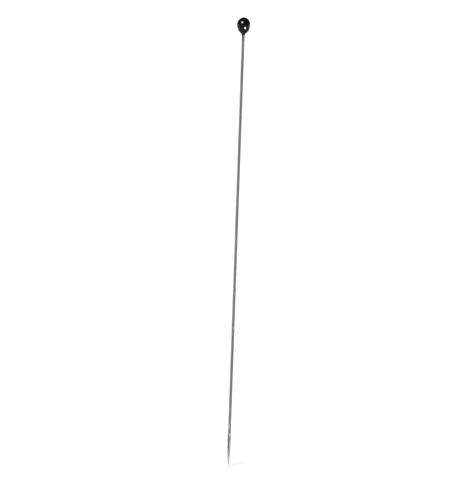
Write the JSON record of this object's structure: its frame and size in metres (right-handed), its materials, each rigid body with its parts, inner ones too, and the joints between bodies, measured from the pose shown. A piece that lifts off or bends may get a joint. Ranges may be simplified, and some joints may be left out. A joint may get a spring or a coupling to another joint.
{
  "type": "insect pin",
  "caption": "Long thin steel pin for mounting dried insects, with a ground point and a glossy black drop-shaped plastic head.",
  "frame": {"origin": "the tip of the point, on the pin's axis", "axes": "+Z along the wire from the point up to the head; +X and +Y are alike, because the pin is round"},
  "size_m": [0.001, 0.001, 0.038],
  "materials": {
    "drawn_steel": "bright drawn stainless steel wire, point ground",
    "black_plastic": "high gloss black"
  },
  "bodies": {
    "root": {"steel_shaft": "drawn_steel", "bead_head": "black_plastic"}
  },
  "joints": []
}
